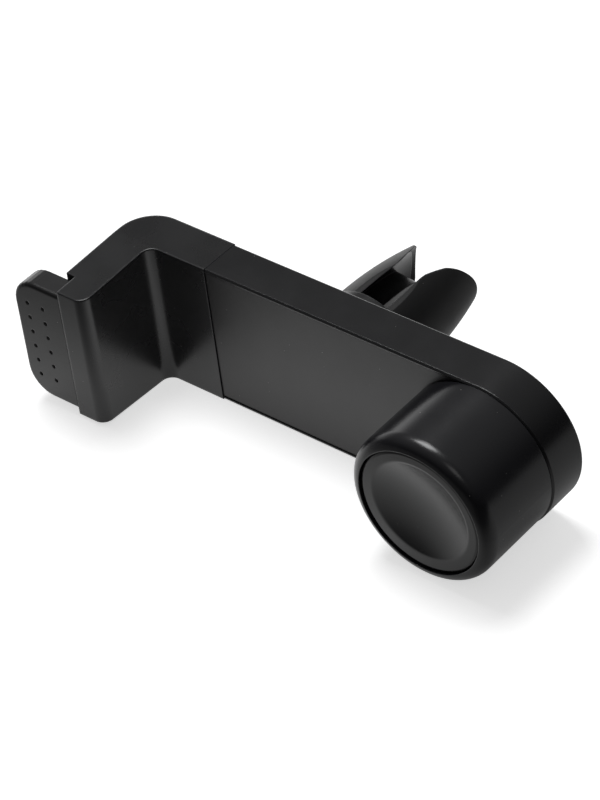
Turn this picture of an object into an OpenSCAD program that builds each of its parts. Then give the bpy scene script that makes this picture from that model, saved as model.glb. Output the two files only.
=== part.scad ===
// Vent-clip phone holder. It stands on its long lower edge, as it is photographed.
// X runs along the bar with the round jaw at +X, -Y is the phone side, +Y the vent side, Z is up.
// The origin is on the lower edge, at mid thickness, straight below the swivel axis of the clip.

/* [Bar] */
// Width of the bar, which is its height as it stands
body_w = 28; // [26:0.5:34]
// Thickness of the bar from front to back
body_t = 8.1; // [7.6:0.1:10]
// Distance from the swivel axis to the centre of the round end
end_x = 32.8; // [31:0.2:40]
// Distance from the swivel axis to the seam between body and sliding jaw
seam_x = 23; // [22:0.2:28]
// Wall of the body shell
wall = 2; // [1.8:0.1:2.2]
// Radius of the rounded rear edge
rear_r = 0.5; // [0.3:0.1:1.6]
// Width of the rim that stays visible round the front plate
rim_w = 0.6; // [0.5:0.05:0.9]
// Bevel on the front edge of the rim
rim_bevel = 0.3; // [0.1:0.05:0.45]

/* [Front plate] */
// Thickness of the front plate
plate_t = 1.8; // [1.5:0.1:2]
// Depth of the plate's face behind the rim
plate_inset = 0.15; // [0.05:0.05:0.3]
// Gap round the plate in its rebate
plate_gap = 0.1; // [0.05:0.05:0.2]

/* [Round jaw] */
// Step from the bar's outline in to the round jaw
round_in = 0.2; // [0.2:0.1:1.5]
// Reach of the round jaw in front of the bar
round_h = 16.6; // [12:0.2:20]
// Radius of its rounded front edge
round_edge = 2.4; // [2.1:0.1:3.5]
// Wall of the round jaw
round_wall = 2; // [1.6:0.1:2.4]
// Width of the rim that is left round the cap
cap_rim = 2.35; // [2:0.05:3.5]
// Groove round the cap
cap_gap = 0.25; // [0.15:0.05:0.4]
// Thickness of the cap at its edge
cap_t = 3; // [2.6:0.1:3.6]
// Depth of the cap behind the crest of the round jaw
cap_inset = 0.3; // [0.1:0.05:1]
// Depth of the dish in the cap
cap_dish = 1.8; // [0.6:0.1:2]
// Distance of the crest of the cap's border from its edge
cap_border = 0.85; // [0.6:0.05:2]
// Radius of the border's crown
cap_crown = 2; // [1.4:0.1:2.2]

/* [Sliding jaw] */
// Distance from the seam to the inner face of the sliding jaw
jaw_in = 12.1; // [11:0.1:14]
// Thickness of the jaw's wall
jaw_t = 7.7; // [6.5:0.1:9]
// Reach of the jaw in front of the bar
jaw_reach = 16.85; // [14:0.25:22]
// Radius of the outer rear corner
jaw_corner = 6.5; // [4:0.5:6.8]
// Radius of the fillet in the inner corner
jaw_fillet = 2; // [1:0.25:3]
// Radius of the inner front edge
jaw_edge = 2; // [1:0.25:2.5]
// Amount by which each side of the jaw tapers towards its front
jaw_taper = 0.8; // [0:0.1:1]
// Travel of the sliding jaw
travel = 30; // [24:1:32]

/* [Pull tab] */
// Length of the tab outside the jaw
tab_l = 9; // [6:0.1:12]
// Thickness of the tab
tab_t = 4.6; // [3:0.1:5]
// Distance of the tab's sides from the edges of the jaw
tab_in = 1.8; // [1:0.1:4]
// Radius of its outer corners
tab_corner = 5; // [3:0.25:6]
// Radius of its soft edges
tab_edge = 0.7; // [0.4:0.1:1.4]
// Radius of the edge round its back
tab_back_edge = 0.3; // [0.2:0.1:1]
// Depth of the rebate in the jaw that the tab sits in
tab_rebate = 1.9; // [1.5:0.1:2.5]
// Radius of a grip dimple
dimple_r = 0.42; // [0.3:0.02:0.6]
// Number of rows of dimples
dimple_rows = 6; // [3:1:7]
// Distance between rows of dimples
dimple_pitch = 3.1; // [2.6:0.1:3.2]
// Distance of the first column of dimples from the tab's edge
dimple_inset = 3.1; // [2.5:0.1:4]
// Distance between the two columns of dimples
dimple_column = 3.5; // [2.5:0.1:4]

/* [Slide] */
// Thickness of the runner
runner_t = 3.2; // [2.8:0.1:3.3]
// Amount by which the stop lugs stand out from the rails
lug_out = 0.7; // [0.5:0.1:1.2]
// Width of one rail of the fork
rail_w = 4; // [3.4:0.1:4.4]
// Length of the runner inside the body
runner_in = 37; // [36:0.5:38]
// Length of the fork's cross-piece inside the body
bridge_in = 15; // [12:0.5:16]
// Length of the stop lug at the end of each rail
lug_l = 4; // [3:0.5:5]
// Radius of a spring pin
pin_r = 0.8; // [0.6:0.05:1]
// Wire diameter of the springs
wire_d = 0.5; // [0.4:0.05:0.6]
// Mean radius of a spring's coils
coil_r = 1.2; // [1.1:0.05:1.3]
// Number of turns in a spring
coil_turns = 14; // [10:1:20]

/* [Vent clip] */
// Largest radius of the clip
clip_r = 9.1; // [8:0.05:10.5]
// Distance from the back of the bar to the tips of the prongs
clip_reach = 25.9; // [22:0.1:34]
// Radius of the clip at the tips of the prongs
clip_tip_r = 6.7; // [5:0.1:8]
// Height above the back of the bar where the clip is widest
clip_belly = 6.9; // [6:0.1:11]
// Length of the leaf-shaped end of a prong
leaf_l = 11; // [9:0.5:14]
// Half of the opening between the rims of the two prongs
rim_gap = 2.6; // [2:0.1:4.5]
// Amount by which the hollow of a prong is wider than its outside, which sharpens the rims
hollow_shift = 3.4; // [1:0.1:4.5]
// Half of the slot between the gripping ribs
slot_gap = 2.2; // [1.4:0.1:3]
// Thickness of a gripping rib
rib_t = 3.4; // [2.4:0.1:4.5]
// Thickness of the rubber sleeve on a prong
sleeve_t = 1.3; // [1:0.05:1.5]
// Thickness of the hard prong inside the sleeve
core_t = 0.9; // [0.8:0.05:1.2]
// Thickness of the rubber sleeve at its tip
sleeve_tip_t = 0.35; // [0.2:0.05:0.6]
// Thickness of the hard prong at its tip
core_tip_t = 0.3; // [0.2:0.05:0.6]
// Turn of the clip about its axis, in degrees
clip_turn = 8; // [-45:1:45]

/* [Swivel] */
// Radius of the collar on the back of the body
collar_r = 9.4; // [8.5:0.1:10.5]
// Height of the collar
collar_h = 2; // [1.4:0.1:3]
// Thickness of the clip's round foot
foot_t = 3; // [2.4:0.1:4]
// Radius of the swivel stub
stub_r = 3; // [2.5:0.1:3.4]
// Running clearance of the stub in its bore
stub_gap = 0.05; // [0.02:0.01:0.1]
// Gap between the swivel washer and the rails of the runner on both sides of it
washer_side = 1.5; // [1.2:0.1:2.5]
// Thickness of the swivel washer
washer_t = 0.8; // [0.5:0.05:1]
// Section radius of the friction ring
ring_r = 0.7; // [0.5:0.05:0.8]
// Radius of the friction ring's centre line
ring_path_r = 6.4; // [5.5:0.1:7.4]

/* [Screws] */
// Shank radius of the small screws
screw_r = 1; // [0.8:0.05:1.2]
// Head radius of the small screws
head_r = 1.8; // [1.6:0.05:2]
// Head height of the small screws
head_h = 1.2; // [1:0.05:1.4]
// Radius of a screw boss
boss_r = 2.3; // [2:0.1:2.6]
// Distance of the round jaw's screws from its outside
round_screw_in = 8.8; // [8.2:0.1:9.4]
// Distance of the jaw screws from the edges of the jaw
jaw_screw_side = 7; // [6:0.1:8]

/* [Clearances] */
// Clearance between parts that slide
slide_gap = 0.3; // [0.2:0.05:0.4]
// Clearance between screws, pins and the holes they bite in
thread_gap = 0.02; // [0.01:0.01:0.05]
// Clearance between parts that are seated and do not move
seat_gap = 0.05; // [0.02:0.01:0.1]

/* [Hidden] */
$fn = 64;
eps = 0.01;
over = 1;
turn_steps = 10;

// Small allowances that belong to the joints
screw_clear = 0.2;
screw_skin = 0.6;
tip_gap = 0.2;
head_sink = 0.1;
pin_skin = 0.7;
pin_inset = 1.6;
hook_l = 3;
hook_turn = 270;
hook_room = 1.9;
wire_room = 0.2;
recess_l = 1.3;
recess_w = 0.28;
tongue_skin = 0.9;
tongue_side = 3;
tongue_l = 3.3;

half_w = body_w / 2;
front_y = -body_t / 2;
back_y = body_t / 2;
inner_back_y = back_y - wall;
plate_front_y = front_y + plate_inset;
plate_back_y = plate_front_y + plate_t;
inner_half_w = half_w - wall;
runner_w = 2 * (inner_half_w - slide_gap - lug_out);
jaw_screw = half_w - jaw_screw_side;

// Sliding jaw
jaw_in_x = -seam_x - jaw_in;
jaw_out_x = jaw_in_x - jaw_t;
jaw_front_y = front_y - jaw_reach;
tab_w = body_w - 2 * tab_in;
cover_t = plate_t;
cover_y = back_y - cover_t;
cover_x = jaw_out_x + jaw_corner + rim_w;
pocket_x = cover_x + wall;
pocket_y = front_y + wall;

// Runner, with its rails at equal distance from both plates
runner_y = (plate_back_y + inner_back_y) / 2;
runner_front_y = runner_y - runner_t / 2;
runner_back_y = runner_y + runner_t / 2;
runner_left_x = pocket_x + seat_gap;
runner_right_x = -seam_x + runner_in;
rail_z = runner_w / 2 - rail_w / 2 + slide_gap;
lug_half_w = runner_w / 2 + lug_out;
stop_end_x = runner_right_x - lug_l - travel - slide_gap;

// Springs, pulled between a pin on each rail and a pin in the body
anchor_in = 10;
runner_pin_x = runner_right_x - pin_inset;
anchor_x = end_x + half_w - anchor_in;
spring_y = runner_y - wire_room;
coil_start_x = runner_pin_x + hook_l;
coil_end_x = anchor_x - hook_l;
pin_front_y = plate_back_y + slide_gap;
tongue_y = spring_y + wire_d / 2 + wire_room;

// Round jaw
round_r = half_w - round_in;
round_screw = round_r - round_screw_in;
cap_r = round_r - cap_rim;
crest_y = front_y - round_h;
cap_face_y = crest_y + cap_inset;
cap_back_y = cap_face_y + cap_t;
cap_seat_r = cap_r + cap_gap;
spigot_r = 4;
spigot_l = 2;
round_screw_l = 6;
groove_w = 0.15;
round_foot_r = half_w - rim_w - plate_gap;

// Vent clip
collar_y = back_y + collar_h;
foot_gap = 0.2;
foot_y = collar_y + foot_gap;
washer_r = runner_w / 2 - rail_w - washer_side;
foot_top_y = foot_y + foot_t;
tip_y = back_y + clip_reach;
belly_y = back_y + clip_belly;
stub_proud = 0.1;
stub_end_y = inner_back_y - stub_proud;
washer_front_y = stub_end_y - washer_t;
swivel_head_h = 1.3;
swivel_head_r = 2.6;
swivel_shank_r = 1.2;
swivel_skin = 0.8;
swivel_screw_end_y = foot_top_y - swivel_skin;
ring_clear = 0.05;
ring_groove_d = 2 * ring_r - foot_gap + 2 * ring_clear;
rib_root = 0.2;
rib_end = 5;
sleeve_side = 0.85;
belly_run = tip_y - belly_y;

// Screw places
housing_screw_in = 13.2;
housing_screw_out = 5.2;
housing_screw_x = [end_x - housing_screw_in, end_x + half_w - housing_screw_out];
jaw_screw_in = 5.5;
jaw_screw_x = -seam_x - jaw_screw_in;

// A front-view outline (x, z) drawn from one y to another
module along_y(y_low, y_high) {
    translate([0, y_high, 0]) rotate([90, 0, 0]) linear_extrude(y_high - y_low) children();
}

// A side-view section (-z, y) drawn from one x to another
module along_x(x_low, x_high) {
    translate([x_low, 0, 0]) rotate([0, 90, 0]) linear_extrude(x_high - x_low) children();
}

// A profile (radius, y) turned about the Y axis
module turned() {
    rotate([-90, 0, 0]) rotate_extrude() children();
}

// A round bar along Y
module rod(r, y_low, y_high) {
    translate([0, y_high, 0]) rotate([90, 0, 0]) cylinder(r = r, h = y_high - y_low);
}

// A pan-head screw whose head's seat is at y = seat and whose shank ends at y = tip
module pan_screw(seat, tip, shank_r, r, h) {
    away = tip > seat ? 1 : -1;
    rod(shank_r, min(seat - away * eps, tip), max(seat - away * eps, tip));
    difference() {
        rod(r, min(seat, seat - away * h), max(seat, seat - away * h));
        for (turn = [0, 90]) {
            translate([0, seat - away * h, 0]) rotate([0, turn, 0])
                cube([r * recess_l, h, r * recess_w], center = true);
        }
    }
}

// Outline of the bar's body, grown or shrunk by an inset, from a given x to the round end
module body_outline(inset, from_x) {
    translate([from_x, -half_w + inset]) square([end_x - from_x, body_w - 2 * inset]);
    translate([end_x, 0]) circle(half_w - inset, $fn = 128);
}

// Half of the shell's section, from the centre line outwards: x is the distance, y is the depth
module shell_section() {
    difference() {
        union() {
            translate([0, front_y]) square([half_w, body_t - rear_r]);
            translate([0, front_y]) square([half_w - rear_r, body_t]);
            translate([half_w - rear_r, back_y - rear_r]) circle(rear_r);
        }
        translate([-over, front_y - over]) square([over + half_w - wall, over + inner_back_y - front_y]);
        translate([-over, front_y - over]) square([over + half_w - rim_w, over + plate_back_y - front_y]);
        polygon([[half_w - rim_bevel, front_y - eps], [half_w + eps, front_y - eps],
            [half_w + eps, front_y + rim_bevel]]);
    }
}

module body_shell() {
    color("#2b2b2d") difference() {
        union() {
            along_x(-seam_x, end_x) {
                shell_section();
                mirror([1, 0]) shell_section();
            }
            translate([end_x, 0, 0]) rotate([-90, 0, 0]) rotate([0, 0, -90])
                rotate_extrude(angle = 180, $fn = 128) shell_section();
            rod(collar_r, inner_back_y + wall / 2, collar_y);
            for (side = [-1, 1]) {
                // Stop blocks that catch the runner's lugs
                translate([-seam_x, plate_back_y, side > 0 ? runner_w / 2 + slide_gap : -inner_half_w - eps])
                    cube([stop_end_x + seam_x, inner_back_y - plate_back_y + eps,
                        inner_half_w - runner_w / 2 - slide_gap + eps]);
            }
        }
        rod(stub_r + stub_gap, inner_back_y - over, collar_y + over);
        // Groove for the friction ring
        turned() translate([ring_path_r, collar_y])
            square([2 * ring_r + 2 * ring_clear, 2 * ring_groove_d], center = true);
        for (x = housing_screw_x) {
            translate([x, 0, 0]) {
                rod(screw_r + screw_clear, inner_back_y - over, back_y + over);
                rod(head_r + screw_clear, back_y - head_h - head_sink, back_y + over);
            }
        }
        for (side = [-1, 1]) {
            translate([anchor_x, 0, side * rail_z])
                rod(pin_r + thread_gap, inner_back_y - over, back_y - pin_skin);
        }
    }
}

module front_plate() {
    color("#2f2d2d") difference() {
        union() {
            along_y(plate_front_y, plate_back_y) body_outline(rim_w + plate_gap, -seam_x);
            for (x = housing_screw_x) {
                translate([x, 0, 0]) rod(boss_r, plate_back_y - eps, inner_back_y - seat_gap);
            }
        }
        for (x = housing_screw_x) {
            translate([x, 0, 0]) rod(screw_r + thread_gap, plate_front_y + screw_skin, inner_back_y + over);
        }
        for (side = [-1, 1]) {
            translate([end_x, 0, side * round_screw])
                rod(screw_r + screw_clear, plate_front_y - over, plate_back_y + over);
        }
    }
}

module housing_screws() {
    color("#8f9195") for (x = housing_screw_x) {
        translate([x, 0, 0]) pan_screw(back_y - head_h - head_sink, plate_front_y + screw_skin + tip_gap,
            screw_r, head_r, head_h);
    }
}

// Outer profile of the round jaw, turned about its axis: a drum with a rounded front edge, and a
// step at its foot that leaves a fine groove over the rim of the body
module round_profile() {
    translate([0, crest_y + round_edge]) square([round_r, front_y - groove_w - crest_y - round_edge]);
    translate([round_r - round_edge, crest_y + round_edge]) circle(round_edge);
    translate([0, crest_y]) square([round_r - round_edge, round_edge + eps]);
    translate([0, front_y - groove_w - eps]) square([round_foot_r, plate_front_y - front_y + groove_w + eps]);
}

module round_jaw() {
    color("#262627") translate([end_x, 0, 0]) difference() {
        union() {
            difference() {
                turned() round_profile();
                rod(round_r - round_wall, cap_back_y + seat_gap + round_wall, plate_front_y + over);
            }
            for (side = [-1, 1]) {
                translate([0, 0, side * round_screw]) rod(boss_r, cap_back_y + round_wall, plate_front_y);
            }
        }
        rod(cap_seat_r, crest_y - over, cap_back_y + seat_gap);
        rod(spigot_r + seat_gap, cap_back_y, cap_back_y + round_wall + over);
        for (side = [-1, 1]) {
            translate([0, 0, side * round_screw])
                rod(screw_r + thread_gap, plate_front_y - round_screw_l - tip_gap, plate_front_y + over);
        }
    }
}

module round_jaw_screws() {
    color("#8f9195") for (side = [-1, 1]) {
        translate([end_x, 0, side * round_screw])
            pan_screw(plate_back_y, plate_front_y - round_screw_l, screw_r, head_r, head_h);
    }
}

// Profile of the cap: a crowned border that runs without an edge into the hollow of the dish
module cap_profile() {
    crest_r = cap_r - cap_border;
    reach = (crest_r * crest_r + cap_dish * cap_dish) / (2 * cap_dish);
    dish_r = reach - cap_crown;
    meet_r = crest_r * dish_r / reach;
    difference() {
        translate([0, cap_face_y]) square([meet_r, cap_back_y - cap_face_y]);
        translate([0, cap_face_y + cap_dish - dish_r]) circle(dish_r, $fn = 240);
    }
    intersection() {
        translate([crest_r, cap_face_y + cap_crown]) circle(cap_crown);
        translate([meet_r, cap_face_y]) square([cap_r - meet_r, cap_crown]);
    }
    translate([meet_r - eps, cap_face_y + cap_crown]) square([cap_r - meet_r + eps, cap_t - cap_crown]);
}

module round_cap() {
    color("#242425") translate([end_x, 0, 0]) {
        turned() cap_profile();
        rod(spigot_r, cap_back_y - eps, cap_back_y + spigot_l);
    }
}

// The sliding jaw seen from above: a bar end with a wall that turns forwards
module jaw_profile() {
    difference() {
        union() {
            translate([jaw_out_x + jaw_corner, front_y]) square([-seam_x - jaw_out_x - jaw_corner, body_t]);
            translate([jaw_out_x, jaw_front_y + jaw_edge])
                square([jaw_t, back_y - jaw_corner - jaw_front_y - jaw_edge]);
            translate([jaw_out_x, jaw_front_y]) square([jaw_t - jaw_edge, jaw_edge + eps]);
            translate([jaw_in_x - jaw_edge, jaw_front_y + jaw_edge]) circle(jaw_edge);
            intersection() {
                translate([jaw_out_x + jaw_corner, back_y - jaw_corner]) circle(jaw_corner);
                translate([jaw_out_x, back_y - jaw_corner]) square(jaw_corner + eps);
            }
            translate([jaw_in_x - eps, front_y - jaw_fillet]) square([jaw_fillet + eps, jaw_fillet + eps]);
        }
        translate([jaw_in_x + jaw_fillet, front_y - jaw_fillet]) circle(jaw_fillet);
        translate([jaw_out_x - over, jaw_front_y - over]) square([over + tab_rebate, over + tab_t]);
    }
}

module sliding_jaw() {
    top = half_w;
    tip = half_w - jaw_taper;
    color("#242425") difference() {
        intersection() {
            translate([0, 0, -half_w]) linear_extrude(body_w) jaw_profile();
            along_x(jaw_out_x - over, -seam_x + over)
                polygon([[-top, back_y], [top, back_y], [top, front_y], [tip, jaw_front_y],
                    [-tip, jaw_front_y], [-top, front_y]]);
        }
        // Pocket for the runner, open at the seam and at the back
        translate([pocket_x, pocket_y, -inner_half_w])
            cube([-seam_x - pocket_x + over, body_t, 2 * inner_half_w]);
        translate([cover_x, cover_y - seat_gap, -half_w + rim_w])
            cube([-seam_x - cover_x + over, body_t, body_w - 2 * rim_w]);
        // Socket for the tongue of the pull tab
        translate([jaw_out_x, jaw_front_y + tongue_skin, -tab_w / 2 + tongue_side])
            cube([tab_rebate + tongue_l, tab_t - 2 * tongue_skin, tab_w - 2 * tongue_side]);
        for (side = [-1, 1]) {
            translate([jaw_screw_x, 0, side * jaw_screw])
                rod(screw_r + thread_gap, front_y + screw_skin, pocket_y + over);
        }
    }
}

module jaw_back_cover() {
    color("#242425") difference() {
        union() {
            translate([cover_x + plate_gap, cover_y, -half_w + rim_w + plate_gap])
                cube([-seam_x - cover_x - plate_gap, cover_t, body_w - 2 * rim_w - 2 * plate_gap]);
            for (side = [-1, 1]) {
                translate([jaw_screw_x, 0, side * jaw_screw]) rod(boss_r, runner_back_y, cover_y + eps);
            }
        }
        for (side = [-1, 1]) {
            translate([jaw_screw_x, 0, side * jaw_screw]) {
                rod(screw_r + screw_clear, runner_back_y - over, back_y + over);
                rod(head_r + screw_clear, back_y - head_h - head_sink, back_y + over);
            }
        }
    }
}

module jaw_screws() {
    color("#8f9195") for (side = [-1, 1]) {
        translate([jaw_screw_x, 0, side * jaw_screw])
            pan_screw(back_y - head_h - head_sink, front_y + screw_skin + tip_gap, screw_r, head_r, head_h);
    }
}

// A flat pebble: a disc with softly rounded edges, the corner of the pull tab
module soft_disc(r, t, edge, back_edge) {
    turned() hull() {
        translate([0, -t / 2]) square([r - edge, t]);
        translate([r - edge, edge - t / 2]) circle(edge, $fn = 24);
        translate([r - back_edge, t / 2 - back_edge]) circle(back_edge, $fn = 16);
    }
}

module pull_tab() {
    outer_x = jaw_out_x - tab_l;
    mid_y = jaw_front_y + tab_t / 2;
    inner_x = jaw_out_x + tab_rebate - seat_gap;
    color("#2a2a2b") difference() {
        union() {
            intersection() {
                hull() {
                    for (side = [-1, 1]) {
                        translate([outer_x + tab_corner, mid_y, side * (tab_w / 2 - tab_corner)])
                            soft_disc(tab_corner, tab_t, tab_edge, tab_back_edge, $fn = 32);
                        translate([inner_x + tab_corner, mid_y, side * (tab_w / 2 - tab_corner)])
                            soft_disc(tab_corner, tab_t, tab_edge, tab_back_edge, $fn = 32);
                    }
                }
                translate([outer_x - over, mid_y - tab_t, -tab_w])
                    cube([inner_x - outer_x + over, tab_t + tab_t / 2 - seat_gap, tab_w * 2]);
            }
            translate([inner_x - tongue_l, jaw_front_y + tongue_skin + seat_gap,
                -tab_w / 2 + tongue_side + seat_gap])
                cube([2 * tongue_l, tab_t - 2 * tongue_skin - 2 * seat_gap,
                    tab_w - 2 * tongue_side - 2 * seat_gap]);
        }
        for (column = [0, 1], row = [0 : dimple_rows - 1]) {
            translate([outer_x + dimple_inset + column * dimple_column, jaw_front_y,
                (row - (dimple_rows - 1) / 2) * dimple_pitch])
                sphere(dimple_r, $fn = 12);
        }
    }
}

module slide_runner() {
    bridge_x = -seam_x + bridge_in;
    color("#3a3a3c") difference() {
        union() {
            along_y(runner_front_y, runner_back_y) {
                translate([runner_left_x, -runner_w / 2]) square([bridge_x - runner_left_x, runner_w]);
                for (side = [-1, 1]) {
                    translate([bridge_x - eps, side > 0 ? runner_w / 2 - rail_w : -runner_w / 2])
                        square([runner_right_x - bridge_x + eps, rail_w]);
                    translate([runner_right_x - lug_l, side > 0 ? runner_w / 2 - eps : -lug_half_w])
                        square([lug_l, lug_half_w - runner_w / 2 + eps]);
                }
            }
            for (side = [-1, 1]) {
                translate([jaw_screw_x, 0, side * jaw_screw]) rod(boss_r, pocket_y, runner_front_y + eps);
            }
        }
        for (side = [-1, 1]) {
            translate([jaw_screw_x, 0, side * jaw_screw])
                rod(screw_r + screw_clear, pocket_y - over, runner_back_y + over);
            // Step that leaves room for the spring's hook in front of the pin's tongue
            translate([runner_pin_x - hook_room, runner_front_y - over, side * rail_z - hook_room])
                cube([hook_room + pin_inset + over, tongue_y - runner_front_y + over, 2 * hook_room]);
            translate([runner_pin_x, 0, side * rail_z])
                rod(pin_r + thread_gap, runner_front_y - over, runner_back_y + over);
        }
    }
}

module runner_pins() {
    color("#b5b7ba") for (side = [-1, 1]) {
        translate([runner_pin_x, 0, side * rail_z]) rod(pin_r, pin_front_y, runner_back_y);
    }
}

module anchor_pins() {
    color("#b5b7ba") for (side = [-1, 1]) {
        translate([anchor_x, 0, side * rail_z]) rod(pin_r, pin_front_y, back_y - pin_skin);
    }
}

// Path of an extension spring along X: a hook round one pin, the coil, and a hook round the other pin
function spring_path(pin_a, coil_a, coil_b, pin_b) =
    let (hook_steps = turn_steps - 1, steps = coil_turns * turn_steps)
    concat(
        [for (i = [0 : hook_steps]) let (a = -hook_turn + hook_turn * i / hook_steps)
            [pin_a + coil_r * sin(a), 0, coil_r * cos(a)]],
        [[coil_a - wire_d, 0, coil_r]],
        [for (i = [0 : steps]) let (t = 360 * i / turn_steps)
            [coil_a + (coil_b - coil_a) * i / steps, coil_r * sin(t), coil_r * cos(t)]],
        [[coil_b + wire_d, 0, coil_r]],
        [for (i = [0 : hook_steps]) let (a = hook_turn * i / hook_steps)
            [pin_b + coil_r * sin(a), 0, coil_r * cos(a)]]);

function unit(v) = v / norm(v);

// Wire of six sides swept along a path: its frame leans on Y in the hooks and on X in the coil
module wire(path, coil_a, coil_b) {
    last = len(path) - 1;
    sides = 6;
    function ring_point(i, j) =
        let (along = unit(path[min(i + 1, last)] - path[max(i - 1, 0)]),
            in_coil = path[i][0] > coil_a + eps && path[i][0] < coil_b - eps && abs(path[i][1]) > eps,
            u = unit(in_coil ? cross(along, [1, 0, 0]) : cross([0, 1, 0], along)),
            v = cross(along, u), a = 360 * j / sides)
        path[i] + wire_d / 2 * (u * cos(a) + v * sin(a));
    points = [for (i = [0 : last], j = [0 : sides - 1]) ring_point(i, j)];
    walls = [for (i = [0 : last - 1], j = [0 : sides - 1], half = [0, 1])
        let (p = i * sides + j, q = i * sides + (j + 1) % sides)
        half == 0 ? [p + sides, q + sides, q] : [p + sides, q, p]];
    caps = [for (j = [1 : sides - 2]) [0, j, j + 1]];
    ends = [for (j = [1 : sides - 2]) [last * sides + j + 1, last * sides + j, last * sides]];
    polyhedron(points = points, faces = concat(walls, caps, ends));
}

module spring(side) {
    color("#c2c4c7") translate([0, spring_y, side * rail_z])
        wire(spring_path(runner_pin_x, coil_start_x, coil_end_x, anchor_x), coil_start_x, coil_end_x);
}

module spring_upper() {
    spring(1);
}

module spring_lower() {
    spring(-1);
}

// Solid bud that the prongs are cut from: its side follows an arc from foot to tip. The wall left
// outside it is as thick as the two values at the belly and at the tip.
module bud(belly_t, tip_t) {
    drop = clip_r - clip_tip_r + tip_t - belly_t;
    bow = (belly_run * belly_run + drop * drop) / (2 * drop);
    turned() intersection() {
        translate([clip_r - belly_t - bow, belly_y]) circle(bow, $fn = 512);
        translate([0, foot_top_y - eps]) square([clip_r + hollow_shift, tip_y - foot_top_y + eps]);
    }
}

// Everything within a leaf outline, for the prong on one side of the slot
module leaf(side, y_low, half, gap, y_high) {
    steps = 24;
    start_y = y_high - leaf_l;
    outline = concat([[-half, y_low], [half, y_low]],
        [for (i = [0 : 2 * steps]) let (a = 90 * i / steps) [half * cos(a), start_y + leaf_l * sin(a)]]);
    translate([side > 0 ? gap : -clip_r - gap - over, 0, 0]) rotate([0, 90, 0])
        linear_extrude(clip_r + over) polygon(outline);
}

// The hollow of a prong: wider than the bud and moved over the slot, so that the rims get thin
module hollow(side, more) {
    wider = hollow_shift - more;
    translate([-side * hollow_shift, 0, 0])
        bud(sleeve_t + core_t - wider, sleeve_tip_t + core_tip_t - wider);
}

module prong_core(side) {
    intersection() {
        difference() {
            bud(sleeve_t + seat_gap, sleeve_tip_t + seat_gap);
            hollow(side, 0);
        }
        leaf(side, foot_top_y - over, clip_r - sleeve_t, rim_gap, tip_y - sleeve_t);
    }
    intersection() {
        hollow(side, -rib_root);
        bud(sleeve_t + seat_gap, sleeve_tip_t + seat_gap);
        leaf(side, foot_top_y - over, rib_t / 2, slot_gap, tip_y - rib_end);
    }
}

module clip_core() {
    color("#1c1c1e") rotate([0, clip_turn, 0]) {
        difference() {
            union() {
                rod(collar_r, foot_y, foot_top_y);
                rod(stub_r, stub_end_y, foot_y + eps);
            }
            rod(swivel_shank_r + thread_gap, stub_end_y - over, swivel_screw_end_y + tip_gap);
        }
        prong_core(1);
        prong_core(-1);
    }
}

module prong_sleeve(side) {
    color("#202021") rotate([0, clip_turn, 0]) intersection() {
        difference() {
            bud(0, 0);
            bud(sleeve_t, sleeve_tip_t);
            hollow(side, 0);
        }
        leaf(side, foot_top_y, clip_r - sleeve_side, rim_gap, tip_y);
    }
}

module prong_sleeve_left() {
    prong_sleeve(-1);
}

module prong_sleeve_right() {
    prong_sleeve(1);
}

module swivel_screw() {
    color("#8f9195") rotate([0, clip_turn, 0])
        pan_screw(washer_front_y, swivel_screw_end_y, swivel_shank_r, swivel_head_r, swivel_head_h);
}

module swivel_washer() {
    color("#a5a7aa") difference() {
        rod(washer_r, washer_front_y, stub_end_y);
        rod(swivel_shank_r + screw_clear / 2, washer_front_y - over, stub_end_y + over);
    }
}

module friction_ring() {
    color("#151515") turned() translate([ring_path_r, foot_y - ring_clear - ring_r]) circle(ring_r, $fn = 32);
}

// Stands the part on its lower edge
module stand() {
    translate([0, 0, half_w]) children();
}

stand() body_shell();
stand() front_plate();
stand() housing_screws();
stand() round_jaw();
stand() round_jaw_screws();
stand() round_cap();
stand() sliding_jaw();
stand() jaw_back_cover();
stand() jaw_screws();
stand() pull_tab();
stand() slide_runner();
stand() runner_pins();
stand() anchor_pins();
stand() spring_upper();
stand() spring_lower();
stand() clip_core();
stand() prong_sleeve_left();
stand() prong_sleeve_right();
stand() swivel_screw();
stand() swivel_washer();
stand() friction_ring();
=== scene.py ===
import math

import bpy
from mathutils import Matrix, Vector

# Looks, light and camera for a vent-clip phone holder, laid out as a Blender add-on.

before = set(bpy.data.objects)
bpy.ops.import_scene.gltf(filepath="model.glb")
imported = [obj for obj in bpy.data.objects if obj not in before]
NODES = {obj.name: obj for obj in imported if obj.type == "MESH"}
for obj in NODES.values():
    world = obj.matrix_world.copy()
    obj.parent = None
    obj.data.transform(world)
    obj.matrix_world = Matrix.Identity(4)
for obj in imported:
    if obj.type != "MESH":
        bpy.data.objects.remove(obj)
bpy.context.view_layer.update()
MM = 0.001
WHITE, BLACK = (1.0, 1.0, 1.0, 1.0), (0.0, 0.0, 0.0, 1.0)

bl_info = {
    "name": "Vent clip phone holder",
    "version": (1, 0, 0),
    "blender": (4, 5, 0),
    "location": "View3D > Sidebar > Holder",
    "description": "Finishes, light and camera for a car phone holder",
    "category": "Material",
}


def box_of(name):
    """Lowest and highest corner of a CAD node at rest."""
    spots = [vertex.co for vertex in NODES[name].data.vertices]
    return [Vector([pick(spot[axis] for spot in spots) for axis in range(3)]) for pick in (min, max)]


# The sliding jaw ends here along X, at its joint with the body
SEAM = box_of("sliding_jaw")[1].x
# Painted shade in the joint line: it is dark up to the first of these distances from it, and the gloss is full
# from the second
SEAM_DARK, SEAM_END = 0.07 * MM, 0.16 * MM

CAP_LOW, CAP_HIGH = box_of("round_cap")
CAP_MIDDLE = (CAP_LOW + CAP_HIGH) / 2
CAP_AXIS = (CAP_MIDDLE.x, 0.0, CAP_MIDDLE.z)
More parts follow.
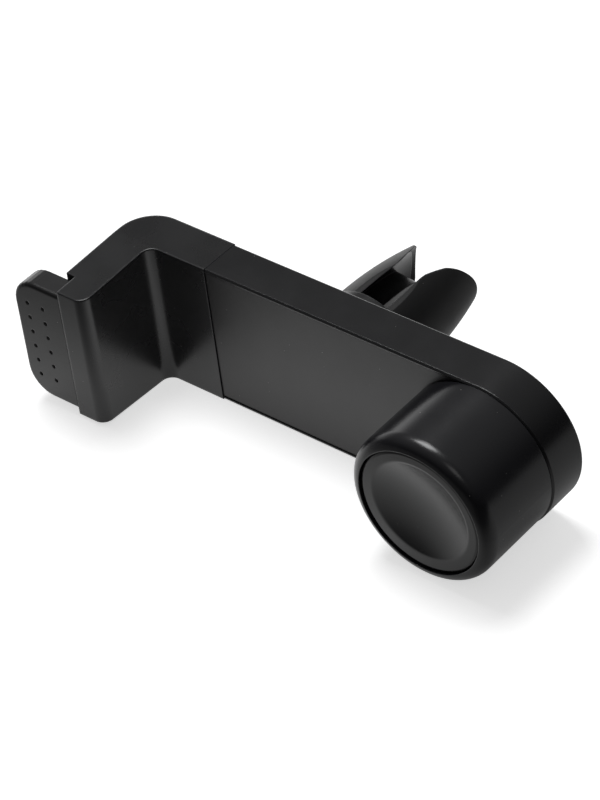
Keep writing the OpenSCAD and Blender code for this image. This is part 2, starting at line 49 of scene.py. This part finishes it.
# Radii up to which the cap is dished and its border is flat, each with the width of its soft end
DISH_END, DISH_FADE = 9.0 * MM, 0.8 * MM
BORDER_END, BORDER_FADE = 10.9 * MM, 0.2 * MM
# The dish shades like a slightly deeper one: its normals meet at this point in front of the cap
DISH_FOCUS = (CAP_MIDDLE.x, CAP_LOW.y - 20.15 * MM, CAP_MIDDLE.z)

# Width in millimetres of the patches of gloss on everything moulded, and how far they part in roughness
SHEEN_PATCH, SHEEN_SPREAD = 9.0, 0.02
# Width in millimetres of the cells that hold one speck of dust each, and the speck's radii as shares of it
DUST_CELL, DUST_OUTER, DUST_INNER = 1.2, 0.085, 0.035
DUST_COLOUR = "#7d7b78"
# An edge is rubbed where its soft normal leaves the plain one, between these cosines of the angle
RUBBED_COSINES = (0.995, 0.86)
# Colour that rubbed edges tend to, how far they do, and how strongly it shows
RUBBED_COLOUR, RUBBED_SHARE, RUBBED_STRENGTH = "#6a6a6e", 0.45, 0.35
# Width in millimetres of the clouds in a plating
PLATING_CLOUD = 1.4

# The painted pool of light on the floor fades between these distances from its middle, down to a share of its
# light
POOL_FADE, POOL_REST = (0.515, 0.562), 0.12
# It has painted shade on the holder's right, in this direction and between these distances
POOL_RIGHT, RIGHT_FADE, RIGHT_REST = (0.9, 0.45, 0.0), (0.008, 0.035), 0.34
# Towards the back left its painted glow, which only reflections see, gets brighter, in this direction and
# between these distances
POOL_LEFT, LEFT_FADE, LEFT_GLOW = (-0.7, 0.7, 0.0), (0.08, 0.22), (0.50, 1.6)
# Light that the camera sees in the paper besides what the lamps give
PAPER_GLOW = 0.62

# The room gets lighter between these heights of a direction, from this level at the horizon
ROOM_HEIGHTS, ROOM_HORIZON = (0.08, 0.9), 0.03
# It also gets lighter towards the back left, between these parts of a direction and from half to all its light
BACK_LEFT = (-0.75, 0.66, 0.0)
ROOM_PARTS, ROOM_SHARES = (-0.6, 0.3), (0.5, 1.0)
# The low wall starts at the first of these heights and is full from the second down, and likewise to the side
WALL_HEIGHTS, WALL_PARTS = (0.40, 0.12), (0.55, 0.9)


def linear(code):
    """The linear colour of an sRGB hex value, with full alpha."""
    parts = [int(code[i:i + 2], 16) / 255 for i in (1, 3, 5)]
    return [c / 12.92 if c <= 0.04045 else ((c + 0.055) / 1.055) ** 2.4 for c in parts] + [1.0]


def scaled(colour, factor):
    """The colour with its light multiplied by factor."""
    return [c * factor for c in colour[:3]] + [1.0]


def add(tree, kind, inputs=(), **settings):
    """A node with its settings. Each input is a constant or the socket that feeds it."""
    node = tree.nodes.new(kind)
    for name, value in settings.items():
        setattr(node, name, value)
    for name, value in dict(inputs).items():
        socket = node.inputs[name]
        if isinstance(value, bpy.types.NodeSocket):
            tree.links.new(value, socket)
        else:
            socket.default_value = value
    return node


def new_material(name):
    """A material, and its node tree with nothing in it."""
    material = bpy.data.materials.new(name)
    material.use_nodes = True
    tree = material.node_tree
    tree.nodes.clear()
    return material, tree


def per_mm(size):
    """Texture scale that gives features of this size in millimetres."""
    return 1 / (size * MM)


def arith(tree, operation, *values):
    """Number that the operation makes of these numbers."""
    return add(tree, "ShaderNodeMath", enumerate(values), operation=operation).outputs["Value"]


def vector(tree, operation, *values):
    """What the operation makes of these vectors: a number for a distance or dot product, else a vector."""
    result = "Value" if operation in ("DISTANCE", "DOT_PRODUCT") else "Vector"
    return add(tree, "ShaderNodeVectorMath", enumerate(values), operation=operation).outputs[result]


def steps(tree, value, low, high, bottom=0.0, top=1.0):
    """Maps value from low..high to bottom..top, smoothly and clamped."""
    return add(tree, "ShaderNodeMapRange", {
        "Value": value, "From Min": low, "From Max": high, "To Min": bottom, "To Max": top,
    }, interpolation_type="SMOOTHSTEP").outputs["Result"]


def mixed(tree, factor, first, second):
    """Colour between first and second by factor."""
    return add(tree, "ShaderNodeMix", {0: factor, 6: first, 7: second}, data_type="RGBA").outputs[2]


def blend(tree, factor, first, second):
    """Direction between first and second by factor."""
    return add(tree, "ShaderNodeMix", {0: factor, 4: first, 5: second}, data_type="VECTOR").outputs[1]


def noise(tree, where, width, detail, roughness=0.5):
    """Cloudy noise whose features are this wide in millimetres."""
    return add(tree, "ShaderNodeTexNoise", {
        "Vector": where, "Scale": per_mm(width), "Detail": detail, "Roughness": roughness}).outputs["Fac"]


def dust_mask(tree, where, share):
    """Fine specks of dust, one in each cell of a share of all cells."""
    cells = add(tree, "ShaderNodeTexVoronoi", {
        "Vector": where, "Scale": per_mm(DUST_CELL), "Randomness": 1.0})
    speck = steps(tree, cells.outputs["Distance"], DUST_OUTER, DUST_INNER)
    lot = add(tree, "ShaderNodeSeparateColor", {"Color": cells.outputs["Color"]}).outputs["Red"]
    return arith(tree, "MULTIPLY", speck, steps(tree, lot, 1.0 - share, 1.02 - share))


def cap_normal(tree, where, soft):
    """Smooth normal of the cap's face: in the dish towards one point, and straight out on the border."""
    level = vector(tree, "MULTIPLY", where, (1.0, 0.0, 1.0))
    out = vector(tree, "DISTANCE", level, CAP_AXIS)
    inward = vector(tree, "NORMALIZE", vector(tree, "SUBTRACT", DISH_FOCUS, where))
    past_border = steps(tree, out, BORDER_END, BORDER_END + BORDER_FADE)
    past_dish = steps(tree, out, DISH_END, DISH_END + DISH_FADE)
    return blend(tree, past_dish, inward, blend(tree, past_border, (0.0, -1.0, 0.0), soft))


def painted_joint_shade(tree, where):
    """Specular level: nothing in the joint line between sliding jaw and body, which paints shade there, and
    the usual 0.5 elsewhere.
    """
    along = add(tree, "ShaderNodeSeparateXYZ", {"Vector": where}).outputs["X"]
    off = arith(tree, "ABSOLUTE", arith(tree, "SUBTRACT", along, SEAM))
    return steps(tree, off, SEAM_DARK, SEAM_END, 0.0, 0.5)


def moulded(name, colour, roughness, grain, depth, edge, dust, ior=1.53, at_seam=False, dished=False):
    """Injection-moulded plastic or rubber: a grained skin, uneven gloss, soft edges and fine dust.

    The width and depth of the grain and the radius of the edges are in millimetres, and dust is the share of
    cells with a speck. A piece at the seam gets painted shade in the joint line. A dished one has the cap's
    normals.
    """
    material, tree = new_material(name)
    where = add(tree, "ShaderNodeTexCoord").outputs["Object"]
    # Edges of a moulding are never sharp: light catches them, and they polish first
    soft = add(tree, "ShaderNodeBevel", {"Radius": edge * MM}, samples=8).outputs["Normal"]
    plain = add(tree, "ShaderNodeNewGeometry").outputs["Normal"]
    worn = steps(tree, vector(tree, "DOT_PRODUCT", soft, plain), *RUBBED_COSINES)
    # Uneven gloss, as from handling
    patch = noise(tree, where, SHEEN_PATCH, 3.0, 0.55)
    gloss = steps(tree, patch, 0.3, 0.7, roughness - SHEEN_SPREAD, roughness + SHEEN_SPREAD)
    # The grain that spark erosion leaves in the mould
    pits = noise(tree, where, grain, 2.0, 0.6)
    # The plastic's own colour, a little lighter in the patches and on rubbed edges, and paler where dust lies
    base = linear(colour)
    lighter = [(1 - RUBBED_SHARE) * c + RUBBED_SHARE * r for c, r in zip(base, linear(RUBBED_COLOUR))]
    skin = mixed(tree, steps(tree, patch, 0.35, 0.75, 0.0, 0.25), base, scaled(base, 1.35))
    rubbed = mixed(tree, arith(tree, "MULTIPLY", worn, RUBBED_STRENGTH), skin, lighter)
    tint = mixed(tree, dust_mask(tree, where, dust), rubbed, linear(DUST_COLOUR))
    normal = cap_normal(tree, where, soft) if dished else soft
    bump = add(tree, "ShaderNodeBump", {
        "Height": pits, "Normal": normal, "Strength": 0.6, "Distance": depth * MM}).outputs["Normal"]
    inputs = {"Base Color": tint, "Roughness": gloss, "Normal": bump, "IOR": ior}
    # A piece at the seam gets painted shade in the joint line: no gloss there
    if at_seam:
        inputs["Specular IOR Level"] = painted_joint_shade(tree, where)
    shader = add(tree, "ShaderNodeBsdfPrincipled", inputs)
    add(tree, "ShaderNodeOutputMaterial", {"Surface": shader.outputs["BSDF"]})
    return material


def worked_metal(name, colour, roughness, line, depth, stretch=(1.0, 1.0, 1.0)):
    """Plated or drawn steel: fine lines over a slightly cloudy plating.

    The width and depth of the lines are in millimetres, and stretch packs them closer along each axis.
    """
    material, tree = new_material(name)
    where = add(tree, "ShaderNodeTexCoord").outputs["Object"]
    lines = noise(tree, vector(tree, "MULTIPLY", where, stretch), line, 3.0)
    cloud = noise(tree, where, PLATING_CLOUD, 2.0)
    base = linear(colour)
    tint = mixed(tree, steps(tree, cloud, 0.35, 0.7), base, scaled(base, 0.8))
    gloss = steps(tree, lines, 0.3, 0.7, roughness - 0.06, roughness + 0.08)
    bump = add(tree, "ShaderNodeBump", {
        "Height": lines, "Strength": 0.5, "Distance": depth * MM}).outputs["Normal"]
    shader = add(tree, "ShaderNodeBsdfPrincipled", {
        "Base Color": tint, "Metallic": 1.0, "Roughness": gloss, "Normal": bump})
    add(tree, "ShaderNodeOutputMaterial", {"Surface": shader.outputs["BSDF"]})
    return material


def finish(material, *names):
    """Puts the material on these CAD nodes."""
    for name in names:
        for slot in NODES[name].material_slots:
            slot.material = material


def size(label, text, default, low, high):
    return bpy.props.FloatProperty(name=label, description=text, default=default, min=low, max=high)


def colour(label, text, code):
    return bpy.props.StringProperty(name=label, description=text, default=code)


def angle(label, text, default):
    return bpy.props.FloatProperty(
        name=label, description=text, default=default, subtype="ANGLE", unit="ROTATION")


def place(label, text, default):
    return bpy.props.FloatVectorProperty(
        name=label, description=text, default=default, subtype="TRANSLATION", unit="LENGTH")


class HolderPlastics(bpy.types.PropertyGroup):
    housing: colour("Housing", "Colour of the moulded bar", "#121214")
    plate: colour("Plate", "Colour of the front plate and the jaw's cover", "#151314")
    jaw: colour("Sliding jaw", "Colour of the sliding jaw", "#111113")
    drum: colour("Round jaw", "Colour of the round jaw", "#18181b")
    cap: colour("Cap", "Colour of the cap in the round jaw", "#101011")
    tab: colour("Tab", "Colour of the pull tab", "#131213")
    runner: colour("Runner", "Colour of the slide runner", "#2c2c2f")
    grain: size("Grain", "Width of the moulded grain in millimetres", 0.22, 0.05, 1.0)
    edge: size("Edge", "Radius of the broken edges in millimetres", 0.22, 0.0, 0.6)
    jaw_edge: size("Jaw edge", "Radius of the sliding jaw's softer edges in millimetres", 0.5, 0.0, 0.8)


class HolderClip(bpy.types.PropertyGroup):
    core: colour("Prongs", "Colour of the prongs under their sleeves", "#1a1a1b")
    sleeve: colour("Sleeves", "Colour of the rubber sleeves", "#0e0e0f")
    ring: colour("Ring", "Colour of the friction ring", "#0e0e0e")


class HolderMetals(bpy.types.PropertyGroup):
    zinc: colour("Zinc", "Colour of the zinc-plated screws and washer", "#aeb2b6")
    steel: colour("Steel", "Colour of the ground pins", "#b9bbbe")
    wire: colour("Wire", "Colour of the spring wire", "#bfc1c4")


class HolderStage(bpy.types.PropertyGroup):
    azimuth: angle("Azimuth", "Turn of the camera round the holder", 0.76868)
    elevation: angle("Elevation", "Height of the camera above the horizon", 0.69752)
    roll: angle("Roll", "Tilt of the picture", -0.13387)
    distance: size("Distance", "Distance of the camera from its aim in metres", 0.502135, 0.1, 5.0)
    aim: place("Aim", "Point on the middle of the view", (0.0076, -0.0172, 0.02328))
    lens: size("Lens", "Focal length in millimetres", 142.85, 10.0, 400.0)
    floor: colour("Floor", "Colour of the floor", "#ececec")
    # The pool of light is painted into the paper's colour and glow
    pool: place("Pool", "Middle of the pool of light on the floor", (0.0, 0.50, 0.0))
    ceiling: size("Ceiling", "Light from the top of the room", 0.29, 0.0, 2.0)
    wall: size("Wall", "Light from the low wall at the back left", 1.3, 0.0, 5.0)


class HolderOperator:
    bl_options = {"REGISTER"}


class HOLDER_OT_bar(HolderOperator, bpy.types.Operator):
    """Finishes the bar's shell and its front plate"""
    bl_idname = "holder.bar"
    bl_label = "Finish the bar"

    def execute(self, context):
        look = context.scene.holder_plastics
        # ABS, injection moulded in a spark-eroded mould: near black, an even satin with a soft sheen
        finish(moulded("ABS moulded satin shell", look.housing, roughness=0.25, grain=look.grain, depth=0.008,
                       edge=look.edge, dust=0.14, at_seam=True), "body_shell")
        # The same ABS in a finer mould: the plates are a little warmer in tone and duller than the shell
        finish(moulded("ABS moulded satin plate", look.plate, roughness=0.34, grain=look.grain * 0.8,
                       depth=0.007, edge=look.edge, dust=0.12), "front_plate", "jaw_back_cover")
        return {"FINISHED"}


class HOLDER_OT_jaws(HolderOperator, bpy.types.Operator):
    """Finishes the two jaws, the cap and the pull tab"""
    bl_idname = "holder.jaws"
    bl_label = "Finish the jaws"

    def execute(self, context):
        look = context.scene.holder_plastics
        # ABS, injection moulded: the round jaw is the glossiest piece, and dust shows on its side
        finish(moulded("ABS moulded satin jaw", look.drum, roughness=0.24, grain=look.grain, depth=0.007,
                       edge=look.edge, dust=0.28), "round_jaw")
        # ABS, injection moulded: the sliding jaw has softer edges than the bar
        finish(moulded("ABS moulded satin slider", look.jaw, roughness=0.28, grain=look.grain, depth=0.008,
                       edge=look.jaw_edge, dust=0.20, at_seam=True), "sliding_jaw")
        # ABS, injection moulded: the cap comes from a smoother mould and shows a clean gradient in its dish
        finish(moulded("ABS moulded smooth cap", look.cap, roughness=0.25, grain=look.grain * 0.7,
                       depth=0.004, edge=look.edge, dust=0.22, dished=True), "round_cap")
        # ABS, injection moulded: the tab is a little duller, for grip
        finish(moulded("ABS moulded satin tab", look.tab, roughness=0.34, grain=look.grain, depth=0.010,
                       edge=look.edge, dust=0.12), "pull_tab")
        return {"FINISHED"}


class HOLDER_OT_slide(HolderOperator, bpy.types.Operator):
    """Finishes the runner, the pins and the springs"""
    bl_idname = "holder.slide"
    bl_label = "Finish the slide"

    def execute(self, context):
        look, metal = context.scene.holder_plastics, context.scene.holder_metals
        # Nylon, injection moulded and greased: slightly waxy, a touch lighter than the housing
        finish(moulded("Nylon moulded greased", look.runner, roughness=0.34, grain=0.4, depth=0.006,
                       edge=look.edge, dust=0.02), "slide_runner")
        # Steel, centreless ground: fine rings round each pin
        finish(worked_metal("Steel ground pin", metal.steel, roughness=0.24, line=0.12, depth=0.002,
                            stretch=(0.4, 6.0, 0.4)), "runner_pins", "anchor_pins")
        # Music wire, drawn: bright, with a fine scratched surface
        finish(worked_metal("Steel drawn wire", metal.wire, roughness=0.27, line=0.10, depth=0.002),
               "spring_upper", "spring_lower")
        return {"FINISHED"}


class HOLDER_OT_clip(HolderOperator, bpy.types.Operator):
    """Finishes the vent clip: prongs, rubber sleeves and friction ring"""
    bl_idname = "holder.clip"
    bl_label = "Finish the clip"

    def execute(self, context):
        look = context.scene.holder_clip
        # ABS, moulded in a mould that was polished by hand: black, with slightly wavy reflections
        finish(moulded("ABS moulded polished prong", look.core, roughness=0.30, grain=0.45, depth=0.020,
                       edge=0.15, dust=0.10), "clip_core")
        # Thermoplastic rubber, moulded: matt, dark and slightly dusty
        finish(moulded("Rubber moulded matt sleeve", look.sleeve, roughness=0.48, grain=0.25, depth=0.008,
                       edge=0.2, dust=0.16, ior=1.44), "prong_sleeve_left", "prong_sleeve_right")
        # Nitrile rubber, moulded ring: smooth with a dull shine
        finish(moulded("Rubber moulded ring", look.ring, roughness=0.45, grain=0.3, depth=0.004,
                       edge=0.0, dust=0.02, ior=1.5), "friction_ring")
        return {"FINISHED"}


class HOLDER_OT_fasteners(HolderOperator, bpy.types.Operator):
    """Finishes the screws and the swivel washer"""
    bl_idname = "holder.fasteners"
    bl_label = "Finish the fasteners"

    def execute(self, context):
        metal = context.scene.holder_metals
        # Steel, cold formed and zinc plated: a bluish, slightly cloudy shine
        finish(worked_metal("Steel zinc plated screw", metal.zinc, roughness=0.30, line=0.15, depth=0.003,
                            stretch=(1.0, 3.0, 1.0)),
               "housing_screws", "round_jaw_screws", "jaw_screws", "swivel_screw")
        # Steel, stamped: flat and a little duller than the screws
        finish(worked_metal("Steel stamped washer", metal.zinc, roughness=0.36, line=0.2, depth=0.003),
               "swivel_washer")
        return {"FINISHED"}


def softbox(name, stand, side, power, tone):
    """A square softbox at stand that faces the holder."""
    middle = Vector((0.0, -0.005, 0.015))
    data = bpy.data.lights.new(name, "AREA")
    data.shape = "RECTANGLE"
    data.size, data.size_y, data.energy, data.color = side, side, power, tone
    obj = bpy.data.objects.new(name, data)
    bpy.context.scene.collection.objects.link(obj)
    obj.location = stand
    obj.rotation_euler = (middle - Vector(stand)).to_track_quat("-Z", "Y").to_euler()


class HOLDER_OT_stage(HolderOperator, bpy.types.Operator):
    """Builds the floor, the lamps, the surroundings and the camera"""
    bl_idname = "holder.stage"
    bl_label = "Build the stage"

    def execute(self, context):
        stage = context.scene.holder_stage
        self.lay_floor(context, stage)
        self.light()
        self.surround(context, stage)
        self.place_camera(context, stage)
        return {"FINISHED"}

    def lay_floor(self, context, stage):
        half = 1.6
        corners = [(-half, -half, 0), (half, -half, 0), (half, half, 0), (-half, half, 0)]
        mesh = bpy.data.meshes.new("studio_floor")
        mesh.from_pydata(corners, [], [(0, 1, 2, 3)])
        mesh.materials.append(self.paper(stage))
        floor = bpy.data.objects.new("studio_floor", mesh)
        context.scene.collection.objects.link(floor)

    def paper(self, stage):
        """Matt white paper with a painted pool of light, which the gloss of the plastic shows.

        The painted pool is in the paper's colour and in a glow that reflections see. It lies behind the
        holder, ends a little in front of it and is brightest at the back left, with painted shade on the
        holder's right.
        The camera sees the paper evenly white, as a cleared background, with the holder's shadow.
        """
        material, tree = new_material("Paper seamless white")
        ray = add(tree, "ShaderNodeLightPath").outputs
        where = add(tree, "ShaderNodeTexCoord").outputs["Object"]
        away = vector(tree, "DISTANCE", where, stage.pool)
        rightward = vector(tree, "DOT_PRODUCT", where, POOL_RIGHT)
        leftward = vector(tree, "DOT_PRODUCT", where, POOL_LEFT)
        # Painted pool of light, with painted shade on the holder's right, in the colour that all but camera
        # rays see
        pool = arith(tree, "MULTIPLY", steps(tree, away, *POOL_FADE, 1.0, POOL_REST),
                     steps(tree, rightward, *RIGHT_FADE, 1.0, RIGHT_REST))
        kept = arith(tree, "MAXIMUM", ray["Is Camera Ray"], pool)
        tone = mixed(tree, kept, BLACK, linear(stage.floor))
        matt = add(tree, "ShaderNodeBsdfDiffuse", {"Color": tone, "Roughness": 0.0})
        seen = arith(tree, "MULTIPLY", ray["Is Camera Ray"], PAPER_GLOW)
        # Painted reflection: for glossy rays the paper glows within the pool, brighter towards the back left
        shine = arith(tree, "MULTIPLY", ray["Is Glossy Ray"], steps(tree, leftward, *LEFT_FADE, *LEFT_GLOW))
        lit = arith(tree, "MULTIPLY_ADD", shine, pool, seen)
        glow = add(tree, "ShaderNodeEmission", {"Color": WHITE, "Strength": lit})
        both = add(tree, "ShaderNodeAddShader", {0: matt.outputs["BSDF"], 1: glow.outputs["Emission"]})
        add(tree, "ShaderNodeOutputMaterial", {"Surface": both.outputs["Shader"]})
        return material

    def light(self):
        # One softbox hangs overhead, a little behind and to the left, and a weak one above the camera
        softbox("overhead_softbox", (-0.32, 0.18, 1.13), 0.50, 7.2, (0.99, 0.995, 1.0))
        softbox("camera_softbox", (0.55, -0.48, 0.95), 0.40, 0.45, (1.0, 0.99, 0.98))

    def surround(self, context, stage):
        world = bpy.data.worlds.new("Studio")
        context.scene.world = world
        world.use_nodes = True
        tree = world.node_tree
        tree.nodes.clear()
        way = add(tree, "ShaderNodeTexCoord").outputs["Generated"]
        height = add(tree, "ShaderNodeSeparateXYZ", {"Vector": way}).outputs["Z"]
        leftward = vector(tree, "DOT_PRODUCT", way, BACK_LEFT)
        # A dim room that gets lighter towards the ceiling and the back left
        room = arith(tree, "MULTIPLY", steps(tree, height, *ROOM_HEIGHTS, ROOM_HORIZON, stage.ceiling),
                     steps(tree, leftward, *ROOM_PARTS, *ROOM_SHARES))
        # A bright low wall at the back left
        wall = steps(tree, height, *WALL_HEIGHTS, 0.0, stage.wall)
        level = arith(tree, "MULTIPLY_ADD", wall, steps(tree, leftward, *WALL_PARTS), room)
        # The camera sees the surroundings white
        seen = add(tree, "ShaderNodeLightPath").outputs["Is Camera Ray"]
        sky = add(tree, "ShaderNodeBackground", {
            "Color": WHITE, "Strength": arith(tree, "MAXIMUM", seen, level)})
        add(tree, "ShaderNodeOutputWorld", {"Surface": sky.outputs["Background"]})

    def place_camera(self, context, stage):
        azimuth, elevation, roll = stage.azimuth, stage.elevation, stage.roll
        side = Vector((math.cos(azimuth), math.sin(azimuth), 0))
        back = Vector((math.cos(elevation) * math.sin(azimuth), -math.cos(elevation) * math.cos(azimuth),
                       math.sin(elevation)))
        rise = back.cross(side)
        right = side * math.cos(roll) + rise * math.sin(roll)
        up = rise * math.cos(roll) - side * math.sin(roll)
        data = bpy.data.cameras.new("photo_camera")
        data.lens, data.sensor_width = stage.lens, 36.0
        data.clip_start, data.clip_end = 0.01, 20.0
        camera = bpy.data.objects.new("photo_camera", data)
        context.scene.collection.objects.link(camera)
        turn = Matrix((right, up, back)).transposed().to_4x4()
        camera.matrix_world = Matrix.Translation(Vector(stage.aim) + back * stage.distance) @ turn
        context.scene.camera = camera


class HOLDER_PT_panel(bpy.types.Panel):
    bl_label = "Phone holder"
    bl_idname = "HOLDER_PT_panel"
    bl_space_type = "VIEW_3D"
    bl_region_type = "UI"
    bl_category = "Holder"

    def draw(self, context):
        for operator in OPERATORS:
            self.layout.operator(operator.bl_idname)
        for group, kind in GROUPS.items():
            box = self.layout.box()
            for name in kind.__annotations__:
                box.prop(getattr(context.scene, group), name)


OPERATORS = (HOLDER_OT_bar, HOLDER_OT_jaws, HOLDER_OT_slide, HOLDER_OT_clip, HOLDER_OT_fasteners,
             HOLDER_OT_stage)
GROUPS = {"holder_plastics": HolderPlastics, "holder_clip": HolderClip, "holder_metals": HolderMetals,
          "holder_stage": HolderStage}


def register():
    for group, kind in GROUPS.items():
        bpy.utils.register_class(kind)
        setattr(bpy.types.Scene, group, bpy.props.PointerProperty(type=kind))
    for kind in OPERATORS + (HOLDER_PT_panel,):
        bpy.utils.register_class(kind)


def unregister():
    for kind in (HOLDER_PT_panel,) + OPERATORS[::-1]:
        bpy.utils.unregister_class(kind)
    for group, kind in reversed(list(GROUPS.items())):
        delattr(bpy.types.Scene, group)
        bpy.utils.unregister_class(kind)


def main():
    register()
    bpy.context.scene.view_settings.view_transform = "Standard"
    for operator in OPERATORS:
        area, name = operator.bl_idname.split(".")
        getattr(getattr(bpy.ops, area), name)()


if __name__ == "__main__":
    main()
